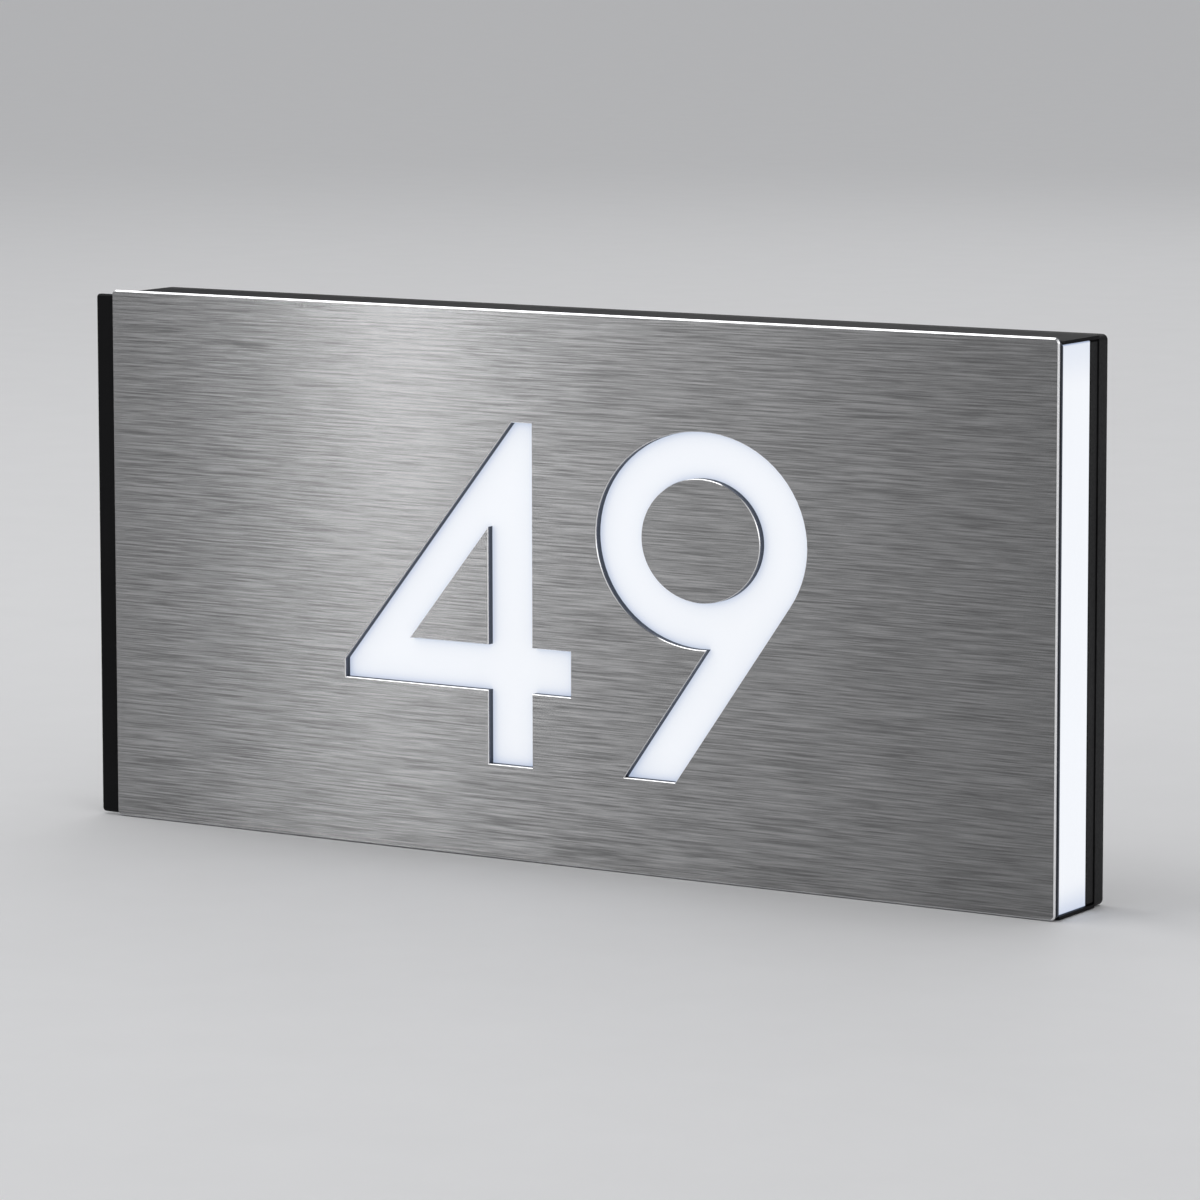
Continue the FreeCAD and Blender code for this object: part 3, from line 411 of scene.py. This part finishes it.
def insulation(name, colour):
    """Soft wire insulation with a waxy gloss."""
    material, tree, shader = new_finish(name, Specular_IOR_Level=0.5)
    grain = place_effect(tree, fine_grain, Size=2400.0)
    base = mix_colour(tree, grain["Blotch"], colour, shade_of(colour, 0.8))
    join(tree, base, shader.inputs["Base Color"])
    join(tree, over_grain(tree, grain["Height"], 0.35, 0.5), shader.inputs["Roughness"])
    raise_surface(tree, shader, grain["Height"], 0.12, 0.00003)
    return material


finishes = {
    "brushed_steel": steel_face(),
    "black_sheet": powder_coat("black sheet", (0.004, 0.004, 0.0045), 0.40, 1500.0, (0.075, 0.086, 0.108)),
    "casing_coat": powder_coat("casing coat", (0.004, 0.004, 0.005), 0.42, 1700.0),
    "stud_steel": plated("stud steel", (0.50, 0.43, 0.38), 0.38),
    "pillar_metal": plated("pillar metal", (0.66, 0.62, 0.50), 0.26),
    "opal_panel": opal("opal panel", 0.835, (0.48, 0.57, 0.76), "diffuser_panel", 0.0),
    "opal_bar": opal("opal bar", 0.82, (0.45, 0.54, 0.74), "light_bar", 0.32),
    "black_moulding": moulding("black moulding", (0.007, 0.007, 0.0075), 0.5, 1300.0, 0.8),
    "screw_zinc": plated("zinc screw", (0.62, 0.63, 0.66), 0.28),
    "screw_black": powder_coat("blackened screw", (0.016, 0.016, 0.017), 0.38, 3600.0),
    "white_sheet": powder_coat("white sheet", (0.78, 0.79, 0.80), 0.52, 1500.0),
    "lamp_board": powder_coat("lamp board", (0.80, 0.80, 0.78), 0.40, 2200.0),
    "lamp_package": phosphor(),
    "lead_white": insulation("white lead", (0.76, 0.76, 0.75)),
    "lead_red": insulation("red lead", (0.42, 0.015, 0.012)),
    "lead_black": insulation("black lead", (0.015, 0.015, 0.016)),
    "grommet_rubber": moulding("sleeve rubber", (0.018, 0.018, 0.018), 0.66, 3000.0, 0.5),
    "driver_case": moulding("driver case", (0.76, 0.77, 0.77), 0.42, 2300.0, 0.25),
    "terminal_plastic": moulding("terminal plastic", (0.66, 0.67, 0.66), 0.36, 2600.0, 0.2),
    "terminal_metal": plated("terminal metal", (0.66, 0.60, 0.42), 0.30),
}

for part in frame["record"]["subparts"]:
    piece = frame["nodes"][part["node"]]
    for slot in piece.material_slots:
        slot.material = finishes[part["material_slot"]]


# Floor, lamps and camera

def pale_floor():
    floor_size, floor_drop = 40.0, 0.0002
    bpy.ops.object.select_all(action="DESELECT")
    bpy.ops.mesh.primitive_plane_add(size=floor_size, location=(0.0, 0.0, -floor_drop))
    floor = bpy.context.active_object
    floor.name = "floor"
    material, tree, shader = new_finish("pale floor", Roughness=0.6, Specular_IOR_Level=0.25)
    cloud = spread(tree, noise(tree, place_on(tree), 30.0, 4.0, 0.6), 0.3, 0.7)
    tone = mix_colour(tree, cloud, (0.815, 0.815, 0.82), (0.83, 0.83, 0.835))
    join(tree, tone, shader.inputs["Base Color"])
    floor.data.materials.append(material)


def soft_box(name, place, width, height, power):
    """Rectangular lamp that faces the middle of the plaque."""
    middle = (0.0, 0.0, 0.08)
    data = bpy.data.lights.new(name, "AREA")
    data.shape = "RECTANGLE"
    data.size = width
    data.size_y = height
    data.energy = power
    lamp = bpy.data.objects.new(name, data)
    lamp.location = place
    lamp.rotation_euler = (Vector(middle) - Vector(place)).to_track_quat("-Z", "Y").to_euler()
    bpy.context.scene.collection.objects.link(lamp)


def room_colour(tree):
    """Pale room all round, dim in front, where the steel's right end looks, and low down behind."""
    dim, pale = (0.22, 0.223, 0.23), (0.94, 0.945, 0.96)
    direction = parts_of(tree, new_node(tree, "ShaderNodeTexCoord").outputs["Generated"])
    ahead = arithmetic(tree, "MULTIPLY", direction["Y"], -1.0)
    turn = arithmetic(tree, "ARCTAN2", direction["X"], ahead)
    left_part = spread(tree, turn, -0.53, -0.45, 1.0, 0.0, smooth=True)
    right_part = spread(tree, turn, 0.5, 0.9, 0.0, 1.0, smooth=True)
    sides = arithmetic(tree, "MAXIMUM", left_part, right_part)
    not_behind = spread(tree, direction["Y"], 0.15, 0.55, 1.0, 0.0, smooth=True)
    high = spread(tree, direction["Z"], 0.30, 0.65, smooth=True)
    light = arithmetic(tree, "MULTIPLY", sides, arithmetic(tree, "MAXIMUM", not_behind, high))
    return mix_colour(tree, light, dim, pale)


def studio():
    world = bpy.data.worlds.new("studio")
    bpy.context.scene.world = world
    world.use_nodes = True
    background = world.node_tree.nodes["Background"]
    join(world.node_tree, room_colour(world.node_tree), background.inputs["Color"])
    background.inputs["Strength"].default_value = 0.75
    soft_box("tall box", (-1.955, -2.80, 0.9), width=0.08, height=2.0, power=8.0)
    soft_box("wide box", (-1.66, -2.80, 0.9), width=0.28, height=2.0, power=1.3)
    soft_box("top box", (-0.9, -0.3, 1.9), width=1.6, height=1.2, power=11.0)
    soft_box("right box", (2.2, -1.35, 0.7), width=0.5, height=1.3, power=2.0)
    soft_box("back box", (-0.8, 2.4, 1.6), width=1.6, height=1.2, power=5.0)


def camera():
    """Eye to the right of the plaque and above it, looking to the left and a little down."""
    place = (0.845678, -1.331638, 0.290641)
    yaw, pitch, roll = 0.56188, 0.11384, -0.00159
    data = bpy.data.cameras.new("camera")
    data.lens = 164.9
    data.sensor_width = 36.0
    data.shift_y = -0.1
    data.clip_start = 0.05
    data.clip_end = 100.0
    eye = bpy.data.objects.new("camera", data)
    bpy.context.scene.collection.objects.link(eye)
    forward = Vector((-math.sin(yaw) * math.cos(pitch), math.cos(yaw) * math.cos(pitch), -math.sin(pitch)))
    level = Vector((math.cos(yaw), math.sin(yaw), 0.0))
    upright = level.cross(forward)
    right = math.cos(roll) * level + math.sin(roll) * upright
    up = -math.sin(roll) * level + math.cos(roll) * upright
    axes = Matrix((right, up, -forward)).transposed().to_4x4()
    eye.matrix_world = Matrix.Translation(place) @ axes
    bpy.context.scene.camera = eye


pale_floor()
studio()
camera()
bpy.context.scene.view_settings.view_transform = "Standard"
